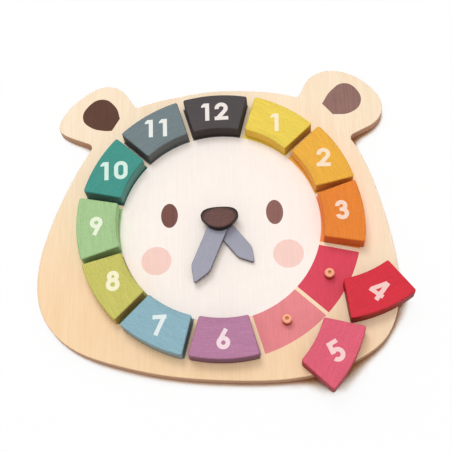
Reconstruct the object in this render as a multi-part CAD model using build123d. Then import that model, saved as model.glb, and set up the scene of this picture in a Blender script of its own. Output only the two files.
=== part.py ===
from build123d import *
import os
from math import cos, radians, sin

# A child's clock puzzle: a bear's head cut from birch ply lies flat and carries a dial of
# twelve numbered hour blocks. Each block drops over a peg, and two hands turn on a pin under
# the nose. Millimetres. The hands' axis is Z, the board's underside is at z = 0, and +Y points
# to 12 o'clock. Bearings are in degrees clockwise from 12 o'clock; turns are anticlockwise.

# ---- driving dimensions -------------------------------------------------------------------
HOURS = 12                        # numbered blocks, and pegs, round the dial

DIAL_INNER_RADIUS = 75.0          # edge of the pale face disc, where the hour slots start
DIAL_OUTER_RADIUS = 104.0         # outer end of the hour slots

BOARD_THICKNESS = 9.0
BOARD_EDGE_ROUND = 0.8            # sanded arris on the printed face
BOARD_FOOT_CHAMFER = 0.5          # lighter one underneath
NOTCH_RADIUS = 4.0                # inside corners where an ear meets the head
CONTACT_TOLERANCE = 0.01          # a corner this close to an edge lies on it

# Head outline: (bearing, margin beyond the dial) at the points that shape it.
HEAD_MARGINS = [(0, 14.0), (16, 16.0), (32, 21.0), (64, 18.0), (84, 17.5), (104, 27.0),
                (118, 38.0), (130, 43.0), (142, 36.0), (158, 24.5), (178, 14.5), (200, 16.0),
                (218, 26.0), (232, 38.5), (244, 43.0), (258, 36.5), (276, 24.0), (300, 18.5),
                (328, 21.0), (345, 15.0)]

# Ears: bearing of the ear's middle and its distance beyond the dial, the points that shape the
# ear from there, as (clockwise, outward), and where the two sides of its root meet the dial.
LEFT_EAR = dict(bearing=-42.8, reach=38.0, root=(-12.5, 21.5),
                outline=[(-24.3, -10.9), (-29.4, 2.0), (-30.2, 9.8), (-21.0, 17.3), (-7.0, 20.1),
                         (8.0, 19.1), (20.5, 15.0), (28.4, 4.5), (27.6, -10.0)])
RIGHT_EAR = dict(bearing=44.2, reach=38.5, root=(-21.5, 18.3),
                 outline=[(-30.9, -10.0), (-32.3, -1.5), (-29.2, 9.5), (-19.2, 18.8),
                          (-6.0, 23.6), (8.0, 24.0), (19.5, 21.4), (28.8, 14.9), (32.6, 4.5),
                          (31.0, -5.5)])

PEG_DIAMETER = 7.0
PEG_HEIGHT = 6.5                  # how far a peg stands above the board
PEG_SEAT_DEPTH = 6.0              # how far it is glued into the board
PEG_CROWN_CHAMFER = 0.8
PEG_HOLE_DIAMETER = 2.8           # shallow centre hole left in the peg's top by the lathe
PEG_HOLE_DEPTH = 1.5

BLOCK_THICKNESS = 12.0
BLOCK_INSET = 1.6                 # slot left bare between the face disc and the block
BLOCK_OVERHANG = 2.6              # block reaches this far past the slot's outer end
BLOCK_GAP = 4.7                   # between two neighbouring blocks that sit square
BLOCK_CORNER_RADIUS = 1.6
BLOCK_EDGE_ROUND = 0.9            # sanded arris on the numbered face
BLOCK_FOOT_CHAMFER = 0.5          # lighter one underneath
SOCKET_CLEARANCE = 0.8            # between a peg and the wall of its socket
SOCKET_HEADROOM = 0.8             # between a peg's top and the socket's roof
SOCKET_CHAMFER = 0.6              # lead-in at the mouth

# Blocks are loose enough to swivel and shift a little on their pegs. How each seated block
# lies: (turn, shift outward, shift clockwise).
SEATED = {1: (-2.9, 0.0, 0.2), 2: (-3.0, 0.0, 0.3), 3: (3.0, -0.3, 0.3), 6: (-2.0, -0.6, 0.1),
          7: (0.0, -0.4, 0.4), 8: (-1.0, 0.0, 0.3), 9: (2.4, 0.4, 0.3), 10: (0.6, 0.4, 0.3),
          11: (0.0, 0.6, 0.0), 12: (-0.5, 0.3, -0.2)}
# Blocks lifted off and laid on the board: (bearing of the socket, its distance beyond the
# dial, turn from its seated direction).
LAID_ASIDE = {4: (119.0, 19.6, -39.4), 5: (144.1, 22.5, 29.0)}

HAND_THICKNESS = 3.0
HAND_EDGE_CHAMFER = 0.4
HAND_SHOULDER_RADIUS = 9.0
HAND_TIP_RADIUS = 1.2
# Each hand: its width, its length, the length of its tapered end, and the bearing it points to.
HOUR_HAND = dict(width=13.2, length=40.4, point=11.0, bearing=143.8)
MINUTE_HAND = dict(width=14.6, length=51.8, point=12.5, bearing=203.3)

PIVOT_DIAMETER = 6.0
PIVOT_CLEARANCE = 0.08            # running fit of the hands and washers on the pivot
PIVOT_BOARD_SEAT = 6.0
PIVOT_NOSE_SEAT = 3.5
PIVOT_CHAMFER = 0.5
WASHER_DIAMETER = 12.0
WASHER_THICKNESS = 0.8
HAND_PLAY = 0.2                   # axial play under the nose, so that the hands turn freely

# Right half of the nose's outline, from the middle of its top edge to its chin.
NOSE_HALF = [(0, 9.7), (7.6, 9.1), (12.2, 6.9), (13.9, 3.2), (11.7, -1.2), (6.4, -5.9), (0, -7.8)]
NOSE_THICKNESS = 5.5
NOSE_EDGE_ROUND = 0.7
NOSE_BASE_CHAMFER = 0.5

# ---- sizes worked out from them -----------------------------------------------------------
HOUR_STEP = 360.0 / HOURS
PEG_CIRCLE_RADIUS = (DIAL_INNER_RADIUS + DIAL_OUTER_RADIUS) / 2
BLOCK_INNER_RADIUS = DIAL_INNER_RADIUS + BLOCK_INSET
BLOCK_OUTER_RADIUS = DIAL_OUTER_RADIUS + BLOCK_OVERHANG
SOCKET_RADIUS = PEG_DIAMETER / 2 + SOCKET_CLEARANCE
SOCKET_DEPTH = PEG_HEIGHT + SOCKET_HEADROOM
HAND_BORE_RADIUS = PIVOT_DIAMETER / 2 + PIVOT_CLEARANCE

HOUR_WASHER_Z = BOARD_THICKNESS
HOUR_HAND_Z = HOUR_WASHER_Z + WASHER_THICKNESS
MINUTE_WASHER_Z = HOUR_HAND_Z + HAND_THICKNESS
MINUTE_HAND_Z = MINUTE_WASHER_Z + WASHER_THICKNESS
NOSE_Z = MINUTE_HAND_Z + HAND_THICKNESS + HAND_PLAY


def at_bearing(bearing, radius):
    """The (x, y) of a point by its clockwise bearing from 12 o'clock."""
    return radius * sin(radians(bearing)), radius * cos(radians(bearing))


def peg_spot(hour):
    return at_bearing(hour * HOUR_STEP, PEG_CIRCLE_RADIUS)


def write(node, solid):
    solid.label = node
    export_step(solid, f"parts/{node}.step")


# ---- board --------------------------------------------------------------------------------
def ear_face(bearing, reach, root, outline):
    """A smooth lobe whose ends run straight on into the two sides of its root."""
    left, right = Vector(root[0], -reach), Vector(root[1], -reach)
    first, last = Vector(*outline[0]), Vector(*outline[-1])
    lobe = Spline(*outline, tangents=[first - left, right - last], tangent_scalars=[1, 1])
    face = make_face(lobe + Polyline(last, right, left, first))
    x, y = at_bearing(bearing, DIAL_OUTER_RADIUS + reach)
    return Pos(x, y) * Rot(0, 0, -bearing) * face


def head_face():
    points = [at_bearing(bearing, DIAL_OUTER_RADIUS + margin) for bearing, margin in HEAD_MARGINS]
    return make_face(Spline(*points, periodic=True))


def make_board():
    """Head and ears in one piece of ply, with blind seats for the pegs and the pivot."""
    head = head_face()
    outline = head + ear_face(**LEFT_EAR) + ear_face(**RIGHT_EAR)
    rim = head.edge()
    notches = outline.vertices().filter_by(lambda corner: rim.distance_to(corner) < CONTACT_TOLERANCE)
    board = extrude(fillet(notches, NOTCH_RADIUS), BOARD_THICKNESS)
    board = fillet(board.edges().group_by(Axis.Z)[-1], BOARD_EDGE_ROUND)
    board = chamfer(board.edges().group_by(Axis.Z)[0], BOARD_FOOT_CHAMFER)
    seats = [Pos(*peg_spot(hour), BOARD_THICKNESS - PEG_SEAT_DEPTH / 2)
             * Cylinder(PEG_DIAMETER / 2, PEG_SEAT_DEPTH) for hour in range(1, HOURS + 1)]
    seats.append(Pos(0, 0, BOARD_THICKNESS - PIVOT_BOARD_SEAT / 2)
                 * Cylinder(PIVOT_DIAMETER / 2, PIVOT_BOARD_SEAT))
    return board - seats


# ---- pegs ---------------------------------------------------------------------------------
def make_peg():
    """A peg on the Z axis, glued into the board: chamfered crown, blind hole from the top."""
    length = PEG_SEAT_DEPTH + PEG_HEIGHT
    foot = BOARD_THICKNESS - PEG_SEAT_DEPTH
    peg = Pos(0, 0, foot + length / 2) * Cylinder(PEG_DIAMETER / 2, length)
    peg = chamfer(peg.edges().group_by(Axis.Z)[-1], PEG_CROWN_CHAMFER)
    hole = Cylinder(PEG_HOLE_DIAMETER / 2, PEG_HOLE_DEPTH)
    return peg - Pos(0, 0, foot + length - PEG_HOLE_DEPTH / 2) * hole


# ---- hour blocks --------------------------------------------------------------------------
def block_face():
    """One twelfth of the ring, its sides set back evenly by half of the gap between blocks."""
    half_angle = HOUR_STEP / 2
    apex = BLOCK_GAP / 2 / sin(radians(half_angle))
    far = BLOCK_OUTER_RADIUS * 2
    side = at_bearing(half_angle, far)
    wedge = make_face(Polyline((0, apex), (side[0], side[1] + apex), (-side[0], side[1] + apex),
                               close=True))
    ring = Circle(BLOCK_OUTER_RADIUS) - Circle(BLOCK_INNER_RADIUS)
    face = ring & wedge
    return fillet(face.vertices(), BLOCK_CORNER_RADIUS)


def make_block():
    """A block at 12 o'clock, moved so that its socket is on the Z axis and its foot at z = 0."""
    block = Pos(0, -PEG_CIRCLE_RADIUS) * extrude(block_face(), BLOCK_THICKNESS)
    block = fillet(block.edges().group_by(Axis.Z)[-1], BLOCK_EDGE_ROUND)
    block = chamfer(block.edges().group_by(Axis.Z)[0], BLOCK_FOOT_CHAMFER)
    socket = Pos(0, 0, SOCKET_DEPTH / 2) * Cylinder(SOCKET_RADIUS, SOCKET_DEPTH)
    mouth_radius = SOCKET_RADIUS + SOCKET_CHAMFER
    lead_in = Pos(0, 0, SOCKET_CHAMFER / 2) * Cone(mouth_radius, SOCKET_RADIUS, SOCKET_CHAMFER)
    return block - socket - lead_in


def place_block(block, hour):
    """Seat a block over its peg, or lay it aside on the board."""
    if hour in LAID_ASIDE:
        bearing, beyond, turn = LAID_ASIDE[hour]
        x, y = at_bearing(bearing, DIAL_OUTER_RADIUS + beyond)
        return Pos(x, y, BOARD_THICKNESS) * Rot(0, 0, turn - hour * HOUR_STEP) * block
    turn, outward, clockwise = SEATED[hour]
    seat = Pos(*peg_spot(hour), BOARD_THICKNESS) * Rot(0, 0, -hour * HOUR_STEP)
    return seat * Pos(clockwise, outward) * Rot(0, 0, turn) * block


# ---- hands, pivot and nose ----------------------------------------------------------------
def make_hand(z, width, length, point, bearing):
    """A broad flat blade with a round hub end and a tapered point, laid at its bearing."""
    half = width / 2
    shoulder = length - point
    blade = make_face(Polyline((-half, 0), (-half, shoulder), (0, length), (half, shoulder), (half, 0),
                               close=True))
    blade = fillet(blade.vertices().filter_by_position(Axis.Y, shoulder, shoulder), HAND_SHOULDER_RADIUS)
    blade = fillet(blade.vertices().sort_by(Axis.Y)[-1], HAND_TIP_RADIUS)
    hand = extrude(blade + Circle(half), HAND_THICKNESS)
    hand = chamfer(hand.faces().filter_by(Axis.Z).edges(), HAND_EDGE_CHAMFER)
    hand -= Pos(0, 0, HAND_THICKNESS / 2) * Cylinder(HAND_BORE_RADIUS, HAND_THICKNESS)
    return Pos(0, 0, z) * Rot(0, 0, -bearing) * hand


def make_washer(z):
    ring = Circle(WASHER_DIAMETER / 2) - Circle(HAND_BORE_RADIUS)
    return Pos(0, 0, z) * extrude(ring, WASHER_THICKNESS)


def make_pivot():
    """The pin that the hands turn on, glued into the board below and the nose above."""
    foot = BOARD_THICKNESS - PIVOT_BOARD_SEAT
    top = NOSE_Z + PIVOT_NOSE_SEAT
    pin = Pos(0, 0, (foot + top) / 2) * Cylinder(PIVOT_DIAMETER / 2, top - foot)
    return chamfer(pin.edges().filter_by(GeomType.CIRCLE), PIVOT_CHAMFER)


def make_nose():
    """A rounded triangle, wide above and narrow below, seated over the end of the pivot."""
    other_half = [(-x, y) for x, y in NOSE_HALF[-2:0:-1]]
    outline = make_face(Spline(*NOSE_HALF, *other_half, periodic=True))
    nose = extrude(outline, NOSE_THICKNESS)
    nose = fillet(nose.edges().group_by(Axis.Z)[-1], NOSE_EDGE_ROUND)
    nose = chamfer(nose.edges().group_by(Axis.Z)[0], NOSE_BASE_CHAMFER)
    nose -= Pos(0, 0, PIVOT_NOSE_SEAT / 2) * Cylinder(PIVOT_DIAMETER / 2, PIVOT_NOSE_SEAT)
    return Pos(0, 0, NOSE_Z) * nose


# ---- assembly -----------------------------------------------------------------------------
os.makedirs("parts", exist_ok=True)

write("board", make_board())
write("pivot_pin", make_pivot())
write("nose", make_nose())
write("hour_hand", make_hand(HOUR_HAND_Z, **HOUR_HAND))
write("minute_hand", make_hand(MINUTE_HAND_Z, **MINUTE_HAND))
write("hour_washer", make_washer(HOUR_WASHER_Z))
write("minute_washer", make_washer(MINUTE_WASHER_Z))

peg = make_peg()
block = make_block()
for hour in range(1, HOURS + 1):
    write(f"peg_{hour:02d}", Pos(*peg_spot(hour)) * peg)
    write(f"block_{hour:02d}", place_block(block, hour))
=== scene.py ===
from math import cos, radians, sin

import bmesh
import bpy
from bpy.props import FloatProperty, FloatVectorProperty, PointerProperty
from mathutils import Matrix, Vector


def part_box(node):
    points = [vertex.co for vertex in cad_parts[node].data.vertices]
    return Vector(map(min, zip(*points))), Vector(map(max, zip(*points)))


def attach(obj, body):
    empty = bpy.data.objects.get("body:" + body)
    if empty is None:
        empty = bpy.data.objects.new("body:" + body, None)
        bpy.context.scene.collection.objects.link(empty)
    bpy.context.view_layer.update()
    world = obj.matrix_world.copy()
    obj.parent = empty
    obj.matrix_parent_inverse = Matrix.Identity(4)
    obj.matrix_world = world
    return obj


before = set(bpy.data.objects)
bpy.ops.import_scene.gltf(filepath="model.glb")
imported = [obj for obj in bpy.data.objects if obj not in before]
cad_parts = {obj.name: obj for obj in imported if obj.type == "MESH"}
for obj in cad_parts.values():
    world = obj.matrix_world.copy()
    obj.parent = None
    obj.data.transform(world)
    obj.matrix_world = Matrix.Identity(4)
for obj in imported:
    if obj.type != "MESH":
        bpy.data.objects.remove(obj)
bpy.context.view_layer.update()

bl_info = {
    "name": "Bear clock puzzle",
    "version": (1, 0, 0),
    "blender": (4, 5, 0),
    "location": "View3D > Sidebar > Bear Clock",
    "description": "Stains, prints and numerals for a wooden bear-head clock puzzle, "
                   "and its table and lamps",
    "category": "Object",
}

MM = 0.001
HOURS = range(1, 13)
HOUR_STEP = 30.0
SAME_PLACE = 0.001 * MM            # corners of a mesh that are closer than this are one

# Places that the printing and the stained blocks share with the wooden parts, read from them.
BOARD_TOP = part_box("board")[1].z
BLOCK_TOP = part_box("block_12")[1].z
PEG_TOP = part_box("peg_04")[1].z

# How each seated block lies on its peg: its turn, anticlockwise in degrees from square in its
# slot, and its shift outward and clockwise in millimetres.
SEATED = {1: (-2.9, 0.0, 0.2), 2: (-3.0, 0.0, 0.3), 3: (3.0, -0.3, 0.3), 6: (-2.0, -0.6, 0.1),
          7: (0.0, -0.4, 0.4), 8: (-1.0, 0.0, 0.3), 9: (2.4, 0.4, 0.3), 10: (0.6, 0.4, 0.3),
          11: (0.0, 0.6, 0.0), 12: (-0.5, 0.3, -0.2)}
# Blocks laid aside on the board: bearing and distance in millimetres of each from the hands'
# axis, and its turn.
LAID_ASIDE = {4: (119.0, 123.6, -39.4), 5: (144.1, 126.5, 29.0)}
HAND_BEARINGS = {"hour_hand": 143.8, "minute_hand": 203.3}


def at_bearing(bearing, radius):
    """A point on the table by its bearing, clockwise in degrees from 12 o'clock."""
    return Vector((radius * sin(radians(bearing)), radius * cos(radians(bearing)), 0.0))


def block_place(hour, peg_circle):
    """The middle of a block's socket, and the block's turn."""
    if hour in LAID_ASIDE:
        bearing, distance, turn = LAID_ASIDE[hour]
        return at_bearing(bearing, distance * MM), radians(turn)
    turn, outward, clockwise = SEATED[hour]
    bearing = hour * HOUR_STEP
    shift = at_bearing(bearing, outward * MM) + at_bearing(bearing + 90, clockwise * MM)
    return at_bearing(bearing, peg_circle) + shift, radians(turn)


# ---- the sizes and colours that a user would change ------------------------------------------
def length(name, description, millimetres):
    return FloatProperty(name=name, description=description, default=millimetres * MM,
                         unit="LENGTH", subtype="DISTANCE", precision=5)


def position(name, description, x, y, z):
    """A point, given in millimetres."""
    return FloatVectorProperty(name=name, description=description, subtype="XYZ", unit="LENGTH",
                               default=(x * MM, y * MM, z * MM))


def strength(name, description, value, kind="NONE"):
    return FloatProperty(name=name, description=description, default=value, subtype=kind)


def colour(name, description, red, green, blue):
    """A colour property, given as it looks on screen from 0 to 255."""
    def linear(level):
        level /= 255
        return level / 12.92 if level <= 0.04045 else ((level + 0.055) / 1.055) ** 2.4

    return FloatVectorProperty(name=name, description=description, subtype="COLOR", size=3,
                               min=0.0, max=1.0,
                               default=(linear(red), linear(green), linear(blue)))


class DialSizes(bpy.types.PropertyGroup):
    """Sizes of the printed dial."""
    inner_radius: length("Inner radius", "Edge of the pale face disc", 75.5)
    outer_radius: length("Outer radius", "Outer end of the printed hour slots", 105.2)
    slot_gap: length("Slot gap", "Bare wood between two printed slots", 2.8)
    block_gap: length("Block gap", "Between two neighbouring blocks", 4.7)
    print_right: length("Print to the right", "How far the dial's print lies off the axis", -0.6)
    print_up: length("Print up", "How far the dial's print lies above the axis", 0.5)
    peg_circle: length("Peg circle", "Radius of the circle of pegs", 89.5)
    film: length("Film", "Thickness of the printing on the board", 0.06)


class NumeralSizes(bpy.types.PropertyGroup):
    """Sizes of the numerals on the blocks."""
    height: length("Height", "Height of a numeral", 15.5)
    stroke: length("Stroke", "Width of a numeral's strokes", 3.2)
    advance: length("Advance", "Step from one figure to the next in 10, 11 and 12", 11.0)
    film: length("Film", "Thickness of a numeral's paint", 0.12)


class WoodColours(bpy.types.PropertyGroup):
    """Colours of the bare wood and of the spacers between the hands."""
    # Painted light: the board colour is the birch with a painted sheen towards the right ear; the
    # colour below it is the same sheet with painted shade towards the left cheek.
    board: colour("Board", "Sanded birch of the board, towards the right ear", 250, 231, 205)
    board_foot: colour("Board foot", "The same sheet towards the left cheek", 250, 218, 178)
    ply_edge: colour("Ply edge", "Sawn and sanded edge of the board", 202, 156, 122)
    ply_glue: colour("Ply glue", "Cross plies and glue lines in the edge", 176, 130, 100)
    peg: colour("Peg", "Turned pegs", 255, 176, 139)
    # Painted shade: the pegs' side colour is their wood darkened for the shade on their sides.
    peg_side: colour("Peg side", "Sides of the pegs", 176, 76, 56)
    peg_hole: colour("Peg hole", "Centre hole in the top of each peg", 222, 150, 104)
    dowel: colour("Dowel", "The pin under the nose", 224, 190, 150)
    washer: colour("Washer", "The spacers between the hands", 226, 222, 214)


class PrintColours(bpy.types.PropertyGroup):
    """Colours of the printed face."""
    face: colour("Face", "Disc behind the hands", 254, 243, 235)
    cheek: colour("Cheeks", "Two round cheeks", 249, 210, 199)
    left_eye: colour("Left eye", "Oval eye at the left", 119, 76, 67)
    # Painted sheen: the right eye is a lighter copy of the left eye's ink, for the sheen on the
    # right of the board.
    right_eye: colour("Right eye", "Oval eye at the right", 142, 98, 90)
    left_ear: colour("Left ear", "Patch inside the left ear", 92, 58, 43)
    # Painted sheen: the right ear's patch is a lighter copy of the left one's ink, for the same
    # sheen.
    right_ear: colour("Right ear", "Patch inside the right ear", 145, 109, 101)


class StainColours(bpy.types.PropertyGroup):
    """Stain on top of each hour block, and the paint of the hands, nose and numerals."""
    hour_01: colour("Hour 1", "Yellow block", 235, 206, 81)
    hour_02: colour("Hour 2", "Amber block", 236, 174, 61)
    hour_03: colour("Hour 3", "Orange block", 231, 130, 45)
    hour_04: colour("Hour 4", "Red block", 214, 44, 60)
    hour_05: colour("Hour 5", "Pink block", 223, 94, 116)
    hour_06: colour("Hour 6", "Mauve block", 182, 124, 157)
    hour_07: colour("Hour 7", "Light blue block", 140, 178, 190)
    hour_08: colour("Hour 8", "Lime block", 199, 193, 98)
    hour_09: colour("Hour 9", "Sage block", 164, 198, 141)
    hour_10: colour("Hour 10", "Teal block", 62, 145, 133)
    hour_11: colour("Hour 11", "Slate block", 112, 126, 129)
    hour_12: colour("Hour 12", "Charcoal block", 73, 66, 67)
    numeral: colour("Numerals", "White paint of the numerals", 250, 244, 235)
    hand: colour("Hands", "Grey paint of both hands", 159, 158, 172)
    # Painted shade: the hands' side colour is their paint darkened for the shade round their sides.
    hand_side: colour("Hand sides", "Darker paint round the sides of both hands", 104, 98, 104)
    nose: colour("Nose", "Brown paint on top of the nose", 100, 67, 60)
    # Painted shade: the nose's side colour is its paint darkened for the shade round its side.
    nose_rim: colour("Nose rim", "Darker paint round the nose's side", 32, 18, 14)


class SideColours(bpy.types.PropertyGroup):
    """Stain on the sides of each hour block, deeper where the sawn wood drinks it in, with painted
    shade and light for how each block's sides are lit.
    """
    hour_01: colour("Side 1", "Yellow block", 240, 192, 65)
    hour_02: colour("Side 2", "Amber block", 250, 167, 59)
    hour_03: colour("Side 3", "Orange block", 255, 126, 43)
    hour_04: colour("Side 4", "Red block", 147, 4, 2)
    hour_05: colour("Side 5", "Pink block", 158, 22, 36)
    hour_06: colour("Side 6", "Mauve block", 121, 80, 102)
    hour_07: colour("Side 7", "Light blue block", 138, 155, 157)
    hour_08: colour("Side 8", "Lime block", 204, 180, 97)
    hour_09: colour("Side 9", "Sage block", 166, 209, 143)
    hour_10: colour("Side 10", "Teal block", 88, 143, 133)
    hour_11: colour("Side 11", "Slate block", 92, 96, 96)
    hour_12: colour("Side 12", "Charcoal block", 52, 43, 41)


class SlotColours(bpy.types.PropertyGroup):
    """Print in each hour slot on the board; slots 8, 10 and 11 are darkened, a painted shade where
    only a strip of each shows beside its block.
    """
    hour_01: colour("Slot 1", "Yellow slot", 240, 216, 92)
    hour_02: colour("Slot 2", "Amber slot", 244, 184, 84)
    hour_03: colour("Slot 3", "Orange slot", 242, 152, 84)
    hour_04: colour("Slot 4", "Red slot", 222, 74, 94)
    hour_05: colour("Slot 5", "Pink slot", 234, 138, 142)
    hour_06: colour("Slot 6", "Mauve slot", 192, 140, 170)
    hour_07: colour("Slot 7", "Light blue slot", 116, 146, 156)
    # Painted shade: slot 8 is darker than its block's lime, for the shade where its strip shows.
    hour_08: colour("Slot 8", "Lime slot", 130, 142, 70)
    hour_09: colour("Slot 9", "Sage slot", 170, 208, 150)
    # Painted shade: slots 10 and 11 are darkened for the shade of their blocks, where their strips
    # show.
    hour_10: colour("Slot 10", "Teal slot", 40, 96, 84)
    hour_11: colour("Slot 11", "Slate slot", 104, 108, 110)
    hour_12: colour("Slot 12", "Charcoal slot", 84, 78, 80)


class StudioSettings(bpy.types.PropertyGroup):
    """Camera, lamps and table."""
    camera_at: position("Camera", "Where the camera stands", 36.79, -274.07, 626.42)
    camera_aim: position("Aim", "Point on the board at the middle of the view", 3.95, -0.62, 9.0)
    camera_roll: FloatProperty(name="Roll", description="Turn of the camera about its own axis",
                               subtype="ANGLE", default=radians(-9.84))
    lens: FloatProperty(name="Lens", description="Focal length on a 36 mm sensor, in millimetres",
                        default=71.87)
    key: strength("Key lamp", "Power of the soft lamp above and behind", 11.2, "POWER")
    top: strength("Top lamp", "Power of the soft lamp overhead", 8.9, "POWER")
    fill: strength("Fill lamp", "Power of the soft lamp at the right", 0.5, "POWER")
    sky: strength("Surround", "Strength of the even surround's light", 0.52)
    table: strength("Table glow", "Lift that keeps the table white in the render", 0.88)


# ---- shader maths ----------------------------------------------------------------------------
class Signal:
    """A number on its way through a node tree. Arithmetic on it adds the Math nodes."""

    def __init__(self, maker, socket):
        self.maker = maker
        self.socket = socket

    def maths(self, operation, *others):
        made = self.maker.node("ShaderNodeMath", {"operation": operation},
                               dict(enumerate((self, *others))))
        return Signal(self.maker, made.outputs[0])

    def __add__(self, other):
        return self.maths("ADD", other)

    def __sub__(self, other):
        return self.maths("SUBTRACT", other)

    def __mul__(self, other):
        return self.maths("MULTIPLY", other)

    __radd__ = __add__

    def smooth(self, low, high):
        """0 below low, 1 above high, and a smooth step between."""
        made = self.maker.node("ShaderNodeMapRange", {"interpolation_type": "SMOOTHSTEP"},
                               {"Value": self, "From Min": low, "From Max": high})
        return Signal(self.maker, made.outputs["Result"])


def rgba(value):
    """A colour as a socket takes it; a link stays as it is."""
    return value if isinstance(value, bpy.types.NodeSocket) else (*value, 1.0)


# The Mix node's colour sockets, by number, because its socket names repeat for each kind of data.
MIX_SHARE, MIX_FIRST, MIX_SECOND, MIX_RESULT = 0, 6, 7, 2


class NodeMaker:
    """Adds nodes to the tree of a material or of the world."""

    def __init__(self, tree):
        self.tree = tree

    def node(self, kind, settings=None, values=None):
        """Any node: its settings first, then a value or a link for each of its sockets."""
        made = self.tree.nodes.new(kind)
        for name, value in (settings or {}).items():
            setattr(made, name, value)
        for name, value in (values or {}).items():
            if isinstance(value, Signal):
                value = value.socket
            if isinstance(value, bpy.types.NodeSocket):
                self.tree.links.new(value, made.inputs[name])
            else:
                made.inputs[name].default_value = value
        return made

    def mix(self, share, first, second, blend="MIX"):
        """Two colours mixed; each is a colour or a link."""
        made = self.node("ShaderNodeMix", {"data_type": "RGBA", "blend_type": blend},
                         {MIX_SHARE: share, MIX_FIRST: rgba(first), MIX_SECOND: rgba(second)})
        return made.outputs[MIX_RESULT]

    def parts(self, vector):
        """The three parts of a vector."""
        made = self.node("ShaderNodeSeparateXYZ", None, {0: vector})
        return [Signal(self, part) for part in made.outputs]

    def measure(self, operation, *vectors):
        """A number from one or two vectors, such as a length, a distance or a dot product."""
        made = self.node("ShaderNodeVectorMath", {"operation": operation}, dict(enumerate(vectors)))
        return Signal(self, made.outputs["Value"])

    def in_view(self):
        """1 where the camera looks, straight or by way of a reflection or clear glass, else 0."""
        path = self.node("ShaderNodeLightPath")
        seen, mirrored, through = (Signal(self, path.outputs[f"Is {kind} Ray"])
                                   for kind in ("Camera", "Glossy", "Transmission"))
        return seen.maths("MAXIMUM", mirrored.maths("MAXIMUM", through))

    def show(self, kind, share, first, second):
        """Sends a mix of two shader nodes to a new output node, in place of any old one."""
        for old in [node for node in self.tree.nodes if node.bl_idname == kind]:
            self.tree.nodes.remove(old)
        both = self.node("ShaderNodeMixShader", None,
                         {0: share, 1: first.outputs[0], 2: second.outputs[0]})
        self.node(kind, None, {"Surface": both.outputs[0]})


RELIEF_DEPTH = 0.08 * MM           # of a bump at full strength


class Finish(NodeMaker):
    """A node material on object coordinates: its Principled shader and what feeds it."""

    def __init__(self, name, roughness, specular):
        self.material = bpy.data.materials.new(name)
        self.material.use_nodes = True
        super().__init__(self.material.node_tree)
        self.shader = self.tree.nodes["Principled BSDF"]
        self.shader.inputs["Roughness"].default_value = roughness
        self.shader.inputs["Specular IOR Level"].default_value = specular
        self.place = self.node("ShaderNodeTexCoord").outputs["Object"]
        self.height = self.parts(self.place)[2]

    def seen_from(self, **placing):
        """Object coordinates as seen from a frame of its own: its Location, Rotation and Scale."""
        return self.node("ShaderNodeMapping", {"vector_type": "TEXTURE"},
                         {"Vector": self.place, **placing}).outputs[0]

    def stretched(self, turn, across, along, deep):
        """Object coordinates turned by an angle, with a feature size in metres for each way."""
        return self.seen_from(Rotation=(0.0, 0.0, turn), Scale=(across, along, deep))

    def noise(self, vector, detail, roughness=0.5, distortion=0.0):
        made = self.node("ShaderNodeTexNoise", None,
                         {"Vector": vector, "Scale": 1.0, "Detail": detail,
                          "Roughness": roughness, "Distortion": distortion})
        return Signal(self, made.outputs["Fac"])

    def mottle(self, size, detail, roughness=0.5):
        """Noise with no direction, with a feature size in metres."""
        return self.noise(self.stretched(0.0, size, size, size), detail, roughness)

    def grain(self, turn, across, along):
        """Fine wood streaks that run along Y turned by an angle."""
        return self.noise(self.stretched(turn, across, along, across * 4), 3.0, 0.62)

    def figure(self, turn, across, along):
        """The broad light and dark bands behind the streaks."""
        return self.noise(self.stretched(turn, across, along, across), 2.0, 0.5, 0.4)

    def toned(self, tone, base, low, high):
        """A colour times a level that runs from low to high with the tone."""
        return self.mix(tone, self.mix(1.0, base, grey(low), "MULTIPLY"),
                        self.mix(1.0, base, grey(high), "MULTIPLY"))

    def finish(self, base, bump=None, roughness=None, relief=0.2):
        """Links the colour, and a bump and roughness where they're given; gives the material."""
        self.tree.links.new(base, self.shader.inputs["Base Color"])
        if roughness is not None:
            self.tree.links.new(roughness.socket, self.shader.inputs["Roughness"])
        if bump is not None:
            bumps = self.node("ShaderNodeBump", None,
                              {"Height": bump, "Strength": relief, "Distance": RELIEF_DEPTH})
            self.tree.links.new(bumps.outputs[0], self.shader.inputs["Normal"])
        return self.material


def grey(level):
    return (level, level, level)


def shade(colour_value, factor):
    """A colour made darker or lighter by one factor for each of its three parts."""
    return tuple(min(1.0, part * scale) for part, scale in zip(colour_value, factor))


BLACK = grey(0.0)
GRAIN = (0.94, 0.86, 0.76)            # what a streak leaves of birch
SHADE_WAY = (-0.35, -0.94, 0.0)        # the way across the board in which its sheet turns darker and warmer, a painted shade
PLY_PAIR = 2.6 * MM                   # height of a ply with its cross ply in the board's edge
SEATED_END_GAP_SHADE = (0.68, 0.67, 0.7)  # what the sawn ends of a seated block leave of its side stain: end grain, with painted shade for the gaps between blocks
LAID_END_SHADE = grey(0.98)           # and the better lit ends of a block laid aside
ARRIS_SHADE = (0.92, 0.9, 0.9)        # what a block's rounded arris leaves of its top stain: deeper stain and painted shade


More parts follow.
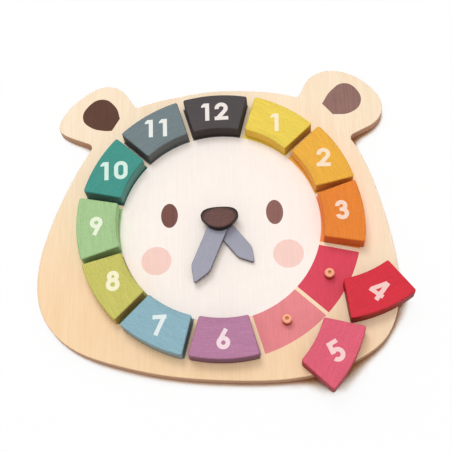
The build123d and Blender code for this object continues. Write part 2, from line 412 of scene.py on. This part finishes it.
def board_finish(colours):
    """Birch ply: upright streaks on the faces, plies and glue lines on the edge."""
    wood = Finish("birch_ply", roughness=0.55, specular=0.28)
    streaks = wood.grain(0.0, 0.9 * MM, 22.0 * MM)
    bands = wood.figure(0.0, 12.0 * MM, 90.0 * MM)
    tone = streaks * 0.95 + bands * 0.5 - 0.22
    # Painted sheen and shade: the sheet runs from the lit board colour at the upper right to the
    # shaded one at the lower left.
    shade_lean = wood.measure("DOT_PRODUCT", wood.place, SHADE_WAY)
    sheet = wood.mix(shade_lean.smooth(-40 * MM, 120 * MM), colours.board, colours.board_foot)
    face = wood.mix(tone.smooth(0.2, 0.75) * 0.8, sheet, wood.mix(1.0, sheet, GRAIN, "MULTIPLY"))
    plies = wood.height * (1 / PLY_PAIR) + streaks * 0.12
    cross = plies.maths("PINGPONG", 0.5).smooth(0.16, 0.24)
    edge = wood.mix(cross, colours.ply_edge, colours.ply_glue)
    # The faces' wood runs down over the sanded arrises.
    top = wood.height.smooth(BOARD_TOP - 0.75 * MM, BOARD_TOP - 0.1 * MM)
    under = wood.height.smooth(0.6 * MM, 0.1 * MM)
    base = wood.mix(top + under, edge, face)
    return wood.finish(base, streaks, 0.5 + streaks * 0.14, 0.22)


def print_finish(name, ink, contrast, roughness=0.6):
    """Ink over wood: flat colour with the streaks of the wood showing through."""
    paint = Finish(name, roughness=roughness, specular=0.13)
    streaks = paint.grain(0.0, 0.9 * MM, 30.0 * MM)
    patches = paint.mottle(7 * MM, 3.0, 0.6)
    tone = (streaks * 0.7 + patches * 0.3).smooth(0.3, 0.7)
    dark = shade(ink, grey(1 - contrast))
    light = shade(ink, grey(1 + contrast * 0.5))
    return paint.finish(paint.mix(tone, dark, light), streaks, relief=0.15)


def stain_finish(name, stain, side_stain, dial, hour):
    """Stained block: fine grain on top, painted shade on the sides, deeper stain and painted shade
    round the arris, and deepest on the end grain, with painted shade in the gaps.
    """
    socket, turn = block_place(hour, dial.peg_circle)
    turn -= radians(hour * HOUR_STEP)
    along_ring = turn + radians(90)
    wood = Finish(name, roughness=0.5, specular=0.16)
    streaks = wood.grain(along_ring, 0.6 * MM, 14.0 * MM)
    bands = wood.figure(along_ring, 5.0 * MM, 40.0 * MM)
    blotches = wood.mottle(1.6 * MM, 4.0, 0.7)
    tone = (streaks * 0.45 + bands * 0.15 + blotches * 0.4).smooth(0.34, 0.66)
    # How far each point lies past the nearer sawn end; inside the block it's below zero.
    across, outward, _ = wood.parts(wood.seen_from(Location=socket, Rotation=(0.0, 0.0, turn)))
    slant = radians(HOUR_STEP / 2)
    past_end = (across.maths("ABSOLUTE") * cos(slant)
                - (outward + dial.peg_circle) * sin(slant) + dial.block_gap / 2)
    # Painted shade with end grain: the ends are darker, most on seated blocks, whose ends face into
    # the narrow gaps between them.
    end_grain_and_gap_shade = past_end.smooth(-0.55 * MM, -0.15 * MM)
    end_shade = LAID_END_SHADE if hour in LAID_ASIDE else SEATED_END_GAP_SHADE
    side = wood.mix(end_grain_and_gap_shade, side_stain, shade(side_stain, end_shade))
    # Painted shade: the sides darken towards the board, where the block stands on it.
    foot = wood.height.smooth(BOARD_TOP + 7 * MM, BOARD_TOP)
    side = wood.mix(foot * 0.22, side, BLACK)
    # Painted shade with deeper stain: just below the top's edge the arris is a darker copy of the
    # top stain, and lower down the shaded side stain takes over.
    arris = wood.height.smooth(BLOCK_TOP - 1.0 * MM, BLOCK_TOP - 0.45 * MM)
    upper = wood.height.smooth(BLOCK_TOP - 0.07 * MM, BLOCK_TOP - 0.005 * MM)
    flat = wood.mix(upper, wood.mix(arris, side, shade(stain, ARRIS_SHADE)), stain)
    base = wood.toned(tone, flat, 0.85, 1.1)
    return wood.finish(base, streaks * 0.7 + blotches * 0.3, 0.46 + streaks * 0.12)


def paint_finish(name, face, side, top, turn=0.0, edge=0.4 * MM, contrast=0.06, oval=None):
    """Sprayed satin paint over fine wood, thinner in places, with painted shade round the sides.

    With the box of a piece given as oval, the top also darkens towards the piece's outline, a
    painted shade."""
    paint = Finish(name, roughness=0.45, specular=0.17)
    streaks = paint.grain(turn, 0.5 * MM, 18.0 * MM)
    patches = paint.mottle(4 * MM, 4.0, 0.6)
    tone = (streaks * 0.55 + patches * 0.45).smooth(0.32, 0.68)
    # Painted shade: the side colour takes over below the top's edge, and with an oval the top
    # darkens towards its outline.
    upper = paint.height.smooth(top - edge, top - edge * 0.1)
    if oval:
        low, high = oval
        spot = paint.seen_from(Location=(*((low + high) / 2).xy, top),
                               Scale=(*((high - low) / 2).xy, 1.0))
        face = paint.mix(paint.measure("LENGTH", spot).smooth(0.7, 1.05), face, side)
    flat = paint.mix(upper, side, face)
    base = paint.toned(tone, flat, 1 - contrast, 1 + contrast)
    return paint.finish(base, streaks, 0.42 + patches * 0.16, 0.12)


def give(obj, material):
    obj.data.materials.clear()
    obj.data.materials.append(material)


def give_node(node, material):
    """Puts a finish on a carried-over part without touching its mesh."""
    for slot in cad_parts[node].material_slots:
        slot.material = material


# ---- modelling helpers -----------------------------------------------------------------------
def finished(mesh, name, material, body):
    """A bmesh as a finished piece: on its body, at the origin."""
    bmesh.ops.recalc_face_normals(mesh, faces=mesh.faces[:])
    data = bpy.data.meshes.new(name)
    mesh.to_mesh(data)
    mesh.free()
    piece = bpy.data.objects.new(name, data)
    bpy.context.collection.objects.link(piece)
    give(piece, material)
    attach(piece, body)
    return piece


def thicken(mesh, height):
    """Raises every flat face of a film by its height."""
    raised = bmesh.ops.extrude_face_region(mesh, geom=mesh.faces[:])
    corners = [part for part in raised["geom"] if isinstance(part, bmesh.types.BMVert)]
    bmesh.ops.translate(mesh, vec=(0, 0, height), verts=corners)


def disc(centre, half_width, half_height, film, steps=96):
    """A flat oval film that lies on the board."""
    mesh = bmesh.new()
    shape = (Matrix.Translation((*centre, BOARD_TOP))
             @ Matrix.Diagonal((half_width, half_height, 1.0, 1.0)))
    bmesh.ops.create_circle(mesh, cap_ends=True, segments=steps, radius=1.0, matrix=shape)
    thicken(mesh, film)
    return mesh


BEND_STEP = 7.5                    # degrees of a bend to each straight piece of it


class Pen:
    """Draws one stroke of a figure: a flat bar that runs straight and round bends."""

    def __init__(self, start, heading, stroke, film):
        self.mesh = bmesh.new()
        self.heading = radians(heading)
        self.at = Vector((*start, 0.0))
        self.stroke = stroke
        across = self.left() * (stroke / 2)
        rise = Vector((0, 0, film))
        corners = [self.mesh.verts.new(self.at + offset)
                   for offset in (across, -across, rise - across, rise + across)]
        self.edges = [self.mesh.edges.new((corners[i - 1], corners[i])) for i in range(4)]

    def left(self):
        return Vector((-sin(self.heading), cos(self.heading), 0.0))

    def ahead(self):
        return Vector((cos(self.heading), sin(self.heading), 0.0))

    def run(self, distance):
        """Straight on."""
        made = bmesh.ops.extrude_edge_only(self.mesh, edges=self.edges)["geom"]
        corners = [part for part in made if isinstance(part, bmesh.types.BMVert)]
        self.edges = [part for part in made if isinstance(part, bmesh.types.BMEdge)]
        bmesh.ops.translate(self.mesh, vec=self.ahead() * distance, verts=corners)
        self.at += self.ahead() * distance
        return self

    def bend(self, radius, turn):
        """Round a bend of a radius, to the left for a positive turn in degrees."""
        angle = radians(turn)
        side = 1 if turn > 0 else -1
        centre = self.at + self.left() * radius * side
        corners = list(dict.fromkeys(corner for edge in self.edges for corner in edge.verts))
        made = bmesh.ops.spin(self.mesh, geom=corners + self.edges, cent=centre, axis=(0, 0, 1),
                              angle=angle, steps=max(2, round(abs(turn) / BEND_STEP)),
                              dvec=(0, 0, 0), use_merge=abs(turn) == 360, use_duplicate=False)
        self.edges = [part for part in made["geom_last"] if isinstance(part, bmesh.types.BMEdge)]
        self.at = centre + Matrix.Rotation(angle, 3, "Z") @ (self.at - centre)
        self.heading += angle
        return self

    def lift(self):
        """Closes the stroke's ends and gives its mesh."""
        bmesh.ops.remove_doubles(self.mesh, verts=self.mesh.verts[:], dist=SAME_PLACE)
        bmesh.ops.holes_fill(self.mesh, edges=self.mesh.edges[:], sides=4)
        bmesh.ops.recalc_face_normals(self.mesh, faces=self.mesh.faces[:])
        return self.mesh


def plate(corners, film):
    """A flat figure part with straight sides."""
    mesh = bmesh.new()
    mesh.faces.new([mesh.verts.new((x, y, 0.0)) for x, y in corners])
    thicken(mesh, film)
    bmesh.ops.recalc_face_normals(mesh, faces=mesh.faces[:])
    return mesh


def figure_parts(figure, high, stroke, film):
    """The strokes and plates of one figure from 0 to 9, its foot at y = 0, its middle near x = 0.

    A 9 is the same as a 6, for the caller to turn. Bare numbers here are shares of the height, or
    of the stroke for a stroke's width, and headings and bends in degrees."""
    half = stroke / 2
    top = high - half

    def pen(x, y, heading, width=stroke):
        """A pen that starts at shares of the height."""
        return Pen((x * high, y * high), heading, width, film)

    if figure == "0":
        bow = 0.233 * high
        straight = high - stroke - 2 * bow
        return [Pen((bow, half + bow), 90, stroke, film).run(straight).bend(bow, 180)
                .run(straight).bend(bow, 180).lift()]
    if figure == "1":
        flag = [(-0.05, 1.0), (-0.17, 1.0), (-0.305, 0.855), (-0.29, 0.76), (-0.05, 0.80)]
        return [pen(0, 0, 90).run(high).lift(),
                plate([(x * high, y * high) for x, y in flag], film)]
    if figure == "2":
        bow = 0.227 * high
        neck = Pen((-bow, top - bow * 1.15), 90, stroke, film).run(bow * 0.15).bend(bow, -221)
        return [neck.run(0.52 * high).lift(),
                pen(-0.34, 0.1, 0, 0.2 * high).run(0.68 * high).lift()]
    if figure == "3":
        upper, lower = 0.187 * high, 0.21 * high
        middle = top - 2 * upper
        return [Pen((-upper, top - upper), 90, stroke, film).bend(upper, -262).lift(),
                Pen((0, half + 2 * lower), 0, stroke, film).bend(lower, -262).lift(),
                Pen((-0.1 * high, (middle + half + 2 * lower) / 2), 0, stroke * 0.92, film)
                .run(0.16 * high).lift()]
    if figure == "4":
        return [pen(0.175, 0, 90).run(high).lift(),
                pen(0.15, 0.975, 236.5, stroke * 0.96).run(0.76 * high).lift(),
                pen(-0.36, 0.3, 0, stroke * 0.92).run(0.72 * high).lift()]
    if figure == "5":
        bow = 0.232 * high
        start = radians(130)
        return [pen(-0.165, 0.9, 0, 0.2 * high).run(0.48 * high).lift(),
                pen(-0.068, 1.0, 262.5, stroke * 1.04).run(0.565 * high).lift(),
                Pen((bow * cos(start), half + bow + bow * sin(start)), 40, stroke, film)
                .bend(bow, -286).lift()]
    if figure in "69":
        bow = 0.207 * high
        back = Pen((-bow * 0.96, half + bow * 1.2), 62, stroke * 0.94, film)
        return [Pen((bow, half + bow), 90, stroke, film).bend(bow, 360).lift(),
                back.run(0.685 * high).lift()]
    if figure == "7":
        return [pen(-0.32, 0.9, 0, 0.2 * high).run(0.64 * high).lift(),
                pen(0.215, 0.93, 245, stroke * 0.94).run(0.985 * high).lift()]
    if figure == "8":
        lower, upper = 0.222 * high, 0.178 * high
        return [Pen((lower, half + lower), 90, stroke * 1.04, film).bend(lower, 360).lift(),
                Pen((upper, top - upper), 90, stroke * 1.04, film).bend(upper, 360).lift()]
    raise ValueError(f"no such figure: {figure}")


def joined(meshes, name):
    """Strokes that overlap, joined into one closed skin."""
    pieces = []
    for mesh in meshes:
        data = bpy.data.meshes.new(name)
        mesh.to_mesh(data)
        mesh.free()
        pieces.append(bpy.data.objects.new(name, data))
        bpy.context.collection.objects.link(pieces[-1])
    for other in pieces[1:]:
        union = pieces[0].modifiers.new("join", "BOOLEAN")
        union.operation = "UNION"
        union.solver = "EXACT"
        union.object = other
    bpy.context.view_layer.update()
    whole = bpy.data.meshes.new_from_object(
        pieces[0].evaluated_get(bpy.context.evaluated_depsgraph_get()))
    result = bmesh.new()
    result.from_mesh(whole)
    bpy.data.meshes.remove(whole)
    for piece in pieces:
        data = piece.data
        bpy.data.objects.remove(piece)
        bpy.data.meshes.remove(data)
    return result


def numeral_mesh(text, sizes):
    """A numeral centred on the origin, its foot at z = 0."""
    parts = []
    for place, figure in enumerate(text):
        for mesh in figure_parts(figure, sizes.height, sizes.stroke, sizes.film):
            if figure == "9":
                bmesh.ops.rotate(mesh, verts=mesh.verts[:], cent=(0, sizes.height / 2, 0),
                                 matrix=Matrix.Rotation(radians(180), 3, "Z"))
            bmesh.ops.translate(mesh, vec=(place * sizes.advance, 0, 0), verts=mesh.verts[:])
            parts.append(mesh)
    mesh = joined(parts, "numeral")
    xs = [corner.co.x for corner in mesh.verts]
    bmesh.ops.translate(mesh, vec=(-(min(xs) + max(xs)) / 2, -sizes.height / 2, 0),
                        verts=mesh.verts[:])
    return mesh


# ---- operators -------------------------------------------------------------------------------
class PieceOperator:
    """What the operators share."""
    bl_options = {"REGISTER", "UNDO"}


class FinishBoard(PieceOperator, bpy.types.Operator):
    """Give the board its birch faces and its ply edge"""
    bl_idname = "bear_clock.finish_board"
    bl_label = "Finish board"

    def execute(self, context):
        give_node("board", board_finish(context.scene.bear_wood))
        return {"FINISHED"}


class PrintFace(PieceOperator, bpy.types.Operator):
    """Print the pale disc, the eyes and the cheeks on the board"""
    bl_idname = "bear_clock.print_face"
    bl_label = "Print face"

    # Centres and half sizes in metres, seen from above with 12 o'clock at the top.
    eyes = {"left": (-38.5 * MM, 10.7 * MM), "right": (40.9 * MM, 8.4 * MM)}
    eye_half = (6.4 * MM, 10.0 * MM)
    cheeks = {"left": (-48.7 * MM, -25.4 * MM), "right": (49.1 * MM, -25.8 * MM)}
    cheek_radius = 11.2 * MM
    face_contrast, cheek_contrast, eye_contrast = 0.035, 0.05, 0.14

    def execute(self, context):
        dial, inks = context.scene.bear_dial, context.scene.bear_print
        self.lay("face_disc", disc((dial.print_right, dial.print_up), dial.inner_radius,
                                   dial.inner_radius, dial.film, steps=192),
                 print_finish("face_ink", inks.face, self.face_contrast))
        # The eyes and cheeks are printed over the disc, so their film is twice as high.
        film = dial.film * 2
        cheek = print_finish("cheek_ink", inks.cheek, self.cheek_contrast)
        # Painted sheen: the right eye's ink is the lighter one.
        for side, ink in (("left", inks.left_eye), ("right", inks.right_eye)):
            self.lay(f"eye_{side}", disc(self.eyes[side], *self.eye_half, film),
                     print_finish(f"eye_ink_{side}", ink, self.eye_contrast, roughness=0.5))
            self.lay(f"cheek_{side}", disc(self.cheeks[side], self.cheek_radius,
                                           self.cheek_radius, film), cheek)
        return {"FINISHED"}

    def lay(self, name, mesh, material):
        return finished(mesh, name, material, "root")


class PrintEars(PieceOperator, bpy.types.Operator):
    """Print the petal-shaped patch inside each ear"""
    bl_idname = "bear_clock.print_ears"
    bl_label = "Print ears"

    # Outline points in millimetres, round each patch; those marked sharp are its two corners.
    left = (((-91.5, 117.5), False), ((-103.5, 111.0), False), ((-107.0, 100.5), False),
            ((-101.0, 92.5), False), ((-89.5, 88.3), False), ((-83.6, 88.0), True),
            ((-77.2, 98.8), True), ((-81.0, 109.8), False))
    right = (((83.8, 99.8), True), ((91.5, 89.4), True), ((105.0, 90.0), False),
             ((113.8, 98.0), False), ((112.0, 110.5), False), ((102.3, 117.2), False),
             ((92.2, 111.6), False))
    contrast = 0.16

    def execute(self, context):
        inks, film = context.scene.bear_print, context.scene.bear_dial.film
        # Painted sheen: the right patch's ink is the lighter one.
        for side, ink in (("left", inks.left_ear), ("right", inks.right_ear)):
            finished(self.patch(getattr(self, side), film), f"ear_patch_{side}",
                     print_finish(f"ear_ink_{side}", ink, self.contrast, roughness=0.5),
                     "root")
        return {"FINISHED"}

    def patch(self, outline, film):
        """A closed curve through the points, rounded except at the sharp ones, then raised."""
        curve = bpy.data.curves.new("patch", "CURVE")
        curve.dimensions = "2D"
        curve.fill_mode = "BOTH"
        curve.resolution_u = 12    # straight pieces between two points
        spline = curve.splines.new("BEZIER")
        spline.use_cyclic_u = True
        spline.bezier_points.add(len(outline) - 1)
        for point, ((x, y), sharp) in zip(spline.bezier_points, outline):
            point.co = (x * MM, y * MM, 0)
            point.handle_left_type = point.handle_right_type = "VECTOR" if sharp else "AUTO"
        maker = bpy.data.objects.new("patch", curve)
        bpy.context.collection.objects.link(maker)
        bpy.context.view_layer.update()
        data = bpy.data.meshes.new_from_object(
            maker.evaluated_get(bpy.context.evaluated_depsgraph_get()))
        mesh = bmesh.new()
        mesh.from_mesh(data)
        bpy.data.meshes.remove(data)
        bpy.data.objects.remove(maker)
        bpy.data.curves.remove(curve)
        bmesh.ops.remove_doubles(mesh, verts=mesh.verts[:], dist=SAME_PLACE)
        bmesh.ops.dissolve_limit(mesh, angle_limit=radians(1), verts=mesh.verts[:], edges=[])
        bmesh.ops.translate(mesh, vec=(0, 0, BOARD_TOP), verts=mesh.verts[:])
        thicken(mesh, film)
        return mesh


class PrintSlots(PieceOperator, bpy.types.Operator):
    """Print the twelve coloured hour slots, with bare wood between them"""
    bl_idname = "bear_clock.print_slots"
    bl_label = "Print hour slots"

    contrast = 0.09
    steps = 24                     # straight pieces in the arc of one slot
    on_plane = 0.0001 * MM         # how near a corner is to a cut to lie on it

    def execute(self, context):
        inks = context.scene.bear_slots
        for hour in HOURS:
            ink = getattr(inks, f"hour_{hour:02d}")
            finished(self.slot(hour, context.scene.bear_dial), f"slot_print_{hour:02d}",
                     print_finish(f"slot_ink_{hour:02d}", ink, self.contrast),
                     "root")
        return {"FINISHED"}

    def slot(self, hour, dial):
        """A twelfth of the ring, spun from one radial edge, with its sides trimmed parallel."""
        mesh = bmesh.new()
        ends = [mesh.verts.new(at_bearing(HOUR_STEP / 2, radius) + Vector((0, 0, BOARD_TOP)))
                for radius in (dial.inner_radius, dial.outer_radius)]
        edge = mesh.edges.new(ends)
        bmesh.ops.spin(mesh, geom=[*ends, edge], cent=(0, 0, 0), axis=(0, 0, 1),
                       angle=radians(HOUR_STEP), steps=self.steps, dvec=(0, 0, 0),
                       use_duplicate=False)
        for side in (-1, 1):
            outward = at_bearing(side * (HOUR_STEP / 2 + 90), 1.0)
            bmesh.ops.bisect_plane(mesh, geom=mesh.verts[:] + mesh.edges[:] + mesh.faces[:],
                                   dist=self.on_plane, plane_co=-outward * (dial.slot_gap / 2),
                                   plane_no=outward, clear_outer=True)
        thicken(mesh, dial.film)
        turned = Matrix.Rotation(radians(-hour * HOUR_STEP), 4, "Z")
        shifted = Matrix.Translation((dial.print_right, dial.print_up, 0))
        bmesh.ops.transform(mesh, matrix=shifted @ turned, verts=mesh.verts[:])
        return mesh


class FinishPegs(PieceOperator, bpy.types.Operator):
    """Give the twelve pegs their warm turned wood"""
    bl_idname = "bear_clock.finish_pegs"
    bl_label = "Finish pegs"

    hole_rim = (1.6 * MM, 1.38 * MM)   # from the axis: where the hole's colour starts and is full

    def execute(self, context):
        colours = context.scene.bear_wood
        for hour in HOURS:
            axis = at_bearing(hour * HOUR_STEP, context.scene.bear_dial.peg_circle)
            wood = Finish(f"peg_wood_{hour:02d}", roughness=0.5, specular=0.32)
            specks = wood.noise(wood.stretched(0.0, 0.5 * MM, 0.5 * MM, 2.0 * MM), 3.0, 0.6)
            crown = wood.height.smooth(PEG_TOP - 1.2 * MM, PEG_TOP - 0.6 * MM)
            flat = wood.node("ShaderNodeVectorMath", {"operation": "MULTIPLY"},
                             {0: wood.place, 1: (1.0, 1.0, 0.0)}).outputs[0]
            hole = wood.measure("DISTANCE", flat, axis).smooth(*self.hole_rim)
            # Painted shade: below the crown the pegs take their darker side colour.
            base = wood.mix(crown, colours.peg_side, colours.peg)
            base = wood.mix(hole, base, colours.peg_hole)
            base = wood.mix(specks.smooth(0.3, 0.7) * 0.06, base, BLACK)
            give_node(f"peg_{hour:02d}", wood.finish(base, specks))
        return {"FINISHED"}


class FinishBlocks(PieceOperator, bpy.types.Operator):
    """Stain the twelve hour blocks"""
    bl_idname = "bear_clock.finish_blocks"
    bl_label = "Stain blocks"

    def execute(self, context):
        stains, sides = context.scene.bear_stains, context.scene.bear_sides
        for hour in HOURS:
            stain, side = (getattr(group, f"hour_{hour:02d}") for group in (stains, sides))
            give_node(f"block_{hour:02d}", stain_finish(f"stain_{hour:02d}", stain, side,
                                                        context.scene.bear_dial, hour))
        return {"FINISHED"}


class PaintNumerals(PieceOperator, bpy.types.Operator):
    """Paint a plain white numeral on each block"""
    bl_idname = "bear_clock.paint_numerals"
    bl_label = "Paint numerals"

    # Middle of each numeral from the middle of its block's socket, in millimetres, to the right
    # and upwards with the block square in its slot.
    spots = {1: (0.3, 1.3), 2: (2.5, 1.4), 3: (1.0, 1.6), 4: (3.1, 0.0), 5: (1.0, -3.2),
             6: (-0.3, -2.5), 7: (-0.2, -2.2), 8: (-1.2, 0.8), 9: (-1.9, 0.2), 10: (-1.4, 0.8),
             11: (-1.7, 2.6), 12: (-0.5, 2.1)}
    # How far the white takes on the stain's hue, and its tone.
    veil, tint = 0.26, 0.12
    contrast = 0.05
    sink = 0.02 * MM               # how deep the paint's underside lies in the block

    def execute(self, context):
        sizes, stains = context.scene.bear_numerals, context.scene.bear_stains
        for hour in HOURS:
            socket, turn = block_place(hour, context.scene.bear_dial.peg_circle)
            x, y = self.spots[hour]
            mesh = numeral_mesh(str(hour), sizes)
            place = (Matrix.Translation(socket) @ Matrix.Rotation(turn, 4, "Z")
                     @ Matrix.Translation((x * MM, y * MM, BLOCK_TOP - self.sink)))
            bmesh.ops.transform(mesh, matrix=place, verts=mesh.verts[:])
            stain = Vector(getattr(stains, f"hour_{hour:02d}"))
            ink = Vector(stains.numeral).lerp(stain / max(stain), self.veil).lerp(stain, self.tint)
            node = f"block_{hour:02d}"
            paint = print_finish(f"numeral_paint_{hour:02d}", ink, self.contrast)
            finished(mesh, f"numeral_{hour:02d}", paint, node)
        return {"FINISHED"}


class PaintHands(PieceOperator, bpy.types.Operator):
    """Paint the two hands grey, with painted shade round their sides"""
    bl_idname = "bear_clock.paint_hands"
    bl_label = "Paint hands"

    def execute(self, context):
        stains = context.scene.bear_stains
        for node, bearing in HAND_BEARINGS.items():
            # Painted shade: the darker side colour goes round each hand's sides.
            give_node(node, paint_finish(f"{node}_paint", stains.hand, stains.hand_side,
                                         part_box(node)[1].z, radians(-bearing)))
        return {"FINISHED"}


class PaintNose(PieceOperator, bpy.types.Operator):
    """Paint the nose, with painted shade round its side and towards its outline, and finish the pin
    and washers
    """
    bl_idname = "bear_clock.paint_nose"
    bl_label = "Paint nose"

    def execute(self, context):
        stains, woods = context.scene.bear_stains, context.scene.bear_wood
        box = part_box("nose")
        # Painted shade: the nose darkens round its side and across its top towards its outline.
        give_node("nose", paint_finish("nose_paint", stains.nose, stains.nose_rim, box[1].z,
                                       turn=radians(90), edge=0.3 * MM, contrast=0.3, oval=box))
        for node, wood in (("pivot_pin", woods.dowel), ("hour_washer", woods.washer),
                           ("minute_washer", woods.washer)):
            give_node(node, paint_finish(f"{node}_finish", wood, wood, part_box(node)[1].z))
        return {"FINISHED"}


TABLE_HALF = 4.0                  # metres from the table's middle to its sides
SHADOW_REACH = 26 * MM            # how far the board's painted shadow runs over the table
LAMPWARD = (-0.25, 0.46, 0.85)    # the way in which the table looks for open sky
OPEN_SKY = (0.36, 0.515)          # shares of open sky that leave full shade and none
TABLE_SHADE = 0.34                # red light left in the table's painted shadow where it is darkest
SHADE_FADE = (1.0, 1.8, 2.7)      # how fast red, green and blue fade towards it
FAR_OFF = (0.3, 1.2)              # metres from the middle: the lamps start to fade, and are gone
SKY_TINT = (1.0, 0.95, 0.91)      # warm light in the shadows, made up for by the lamps
LAMP_TINT = (0.98, 1.03, 1.07)
SENSOR_WIDTH = 36.0               # millimetres, as the camera counts


class SetStage(PieceOperator, bpy.types.Operator):
    """Set the white table, the soft lamps and the camera"""
    bl_idname = "bear_clock.set_stage"
    bl_label = "Set stage"

    def execute(self, context):
        studio = context.scene.bear_studio
        self.table(studio)
        self.surround(studio)
        # Each lamp's name, its place and its width in metres, and its power.
        self.lamp("key_lamp", (-0.3, 0.8, 1.7), 0.9, studio.key)
        self.lamp("top_lamp", (0.1, -0.2, 1.9), 1.0, studio.top)
        self.lamp("fill_lamp", (0.9, -0.5, 1.2), 0.8, studio.fill)
        self.camera(context, studio)
        return {"FINISHED"}

    def table(self, studio):
        mesh = bmesh.new()
        bmesh.ops.create_grid(mesh, x_segments=1, y_segments=1, size=TABLE_HALF)
        data = bpy.data.meshes.new("table")
        mesh.to_mesh(data)
        mesh.free()
        table = bpy.data.objects.new("table", data)
        bpy.context.collection.objects.link(table)
        white = Finish("table_white", roughness=1.0, specular=0.0)
        # Open sky towards the key lamp: low close under the near edges, where the shadow lies.
        lampward = white.node("ShaderNodeCombineXYZ", None, dict(enumerate(LAMPWARD)))
        open_sky = white.node("ShaderNodeAmbientOcclusion", None,
                              {"Distance": SHADOW_REACH, "Normal": lampward.outputs[0]})
        clear = Signal(white, open_sky.outputs["AO"]).smooth(*OPEN_SKY)
        sheet = white.mix(white.mottle(3 * MM, 2.0), grey(0.96), grey(0.97))
        # Painted shadow: the shade found from open sky is painted into the table's colour and its
        # glow, warmer as it deepens.
        left = clear * (1 - TABLE_SHADE) + TABLE_SHADE
        fades = {part: left.maths("POWER", fade) for part, fade in enumerate(SHADE_FADE)}
        warm = white.node("ShaderNodeCombineColor", None, fades).outputs[0]
        glow = white.node("ShaderNodeEmission", None, {"Color": warm, "Strength": 1.0})
        give(table, white.finish(white.mix(1.0, sheet, warm, "MULTIPLY")))
        # Far off, the lamps fade, so the glow takes over and the table runs into the backdrop.
        far = white.measure("LENGTH", white.place).smooth(*FAR_OFF)
        lift = clear * (far * (1 - studio.table) + studio.table)
        white.show("ShaderNodeOutputMaterial", white.in_view() * lift, white.shader, glow)

    def surround(self, studio):
        world = bpy.data.worlds.new("surround")
        world.use_nodes = True
        bpy.context.scene.world = world
        sky = NodeMaker(world.node_tree)
        sky.tree.nodes.clear()
        light = sky.node("ShaderNodeBackground", None,
                         {"Color": rgba(SKY_TINT), "Strength": studio.sky})
        backdrop = sky.node("ShaderNodeBackground", None,
                            {"Color": rgba(grey(1.0)), "Strength": 1.0})
        sky.show("ShaderNodeOutputWorld", sky.in_view(), light, backdrop)

    def lamp(self, name, place, size, power):
        """A round soft lamp that points at the middle of the dial."""
        light = bpy.data.lights.new(name, "AREA")
        light.shape = "DISK"
        light.size = size
        light.energy = power
        light.color = LAMP_TINT
        lamp = bpy.data.objects.new(name, light)
        bpy.context.collection.objects.link(lamp)
        lamp.location = place
        lamp.rotation_mode = "QUATERNION"
        lamp.rotation_quaternion = (-Vector(place)).to_track_quat("-Z", "Y")

    def camera(self, context, studio):
        lens = bpy.data.cameras.new("camera")
        lens.sensor_width = SENSOR_WIDTH
        lens.lens = studio.lens
        lens.clip_start = 10 * MM
        camera = bpy.data.objects.new("camera", lens)
        bpy.context.collection.objects.link(camera)
        place, aim = Vector(studio.camera_at), Vector(studio.camera_aim)
        camera.rotation_mode = "QUATERNION"
        camera.location = place
        level = (aim - place).to_track_quat("-Z", "Y")
        roll = Matrix.Rotation(studio.camera_roll, 3, "Z").to_quaternion()
        camera.rotation_quaternion = level @ roll
        context.scene.camera = camera
        context.scene.view_settings.view_transform = "Standard"


class BearClockPanel(bpy.types.Panel):
    """Sizes, colours and steps of the bear clock puzzle"""
    bl_idname = "VIEW3D_PT_bear_clock"
    bl_label = "Bear clock puzzle"
    bl_space_type = "VIEW_3D"
    bl_region_type = "UI"
    bl_category = "Bear Clock"

    def draw(self, context):
        for step in STEPS:
            self.layout.operator(step.bl_idname)
        for name in GROUPS:
            box = self.layout.box()
            group = getattr(context.scene, name)
            for prop in GROUPS[name].__annotations__:
                box.prop(group, prop)


GROUPS = {"bear_dial": DialSizes, "bear_numerals": NumeralSizes, "bear_wood": WoodColours,
          "bear_print": PrintColours, "bear_stains": StainColours, "bear_sides": SideColours,
          "bear_slots": SlotColours, "bear_studio": StudioSettings}
STEPS = (FinishBoard, PrintFace, PrintEars, PrintSlots, FinishPegs, FinishBlocks, PaintNumerals,
         PaintHands, PaintNose, SetStage)


def register():
    for name, group in GROUPS.items():
        bpy.utils.register_class(group)
        setattr(bpy.types.Scene, name, PointerProperty(type=group))
    for step in STEPS:
        bpy.utils.register_class(step)
    bpy.utils.register_class(BearClockPanel)


def unregister():
    bpy.utils.unregister_class(BearClockPanel)
    for step in reversed(STEPS):
        bpy.utils.unregister_class(step)
    for name, group in reversed(GROUPS.items()):
        delattr(bpy.types.Scene, name)
        bpy.utils.unregister_class(group)


def main():
    register()
    bpy.ops.bear_clock.finish_board()
    bpy.ops.bear_clock.print_face()
    bpy.ops.bear_clock.print_ears()
    bpy.ops.bear_clock.print_slots()
    bpy.ops.bear_clock.finish_pegs()
    bpy.ops.bear_clock.finish_blocks()
    bpy.ops.bear_clock.paint_numerals()
    bpy.ops.bear_clock.paint_hands()
    bpy.ops.bear_clock.paint_nose()
    bpy.ops.bear_clock.set_stage()


if __name__ == "__main__":
    main()
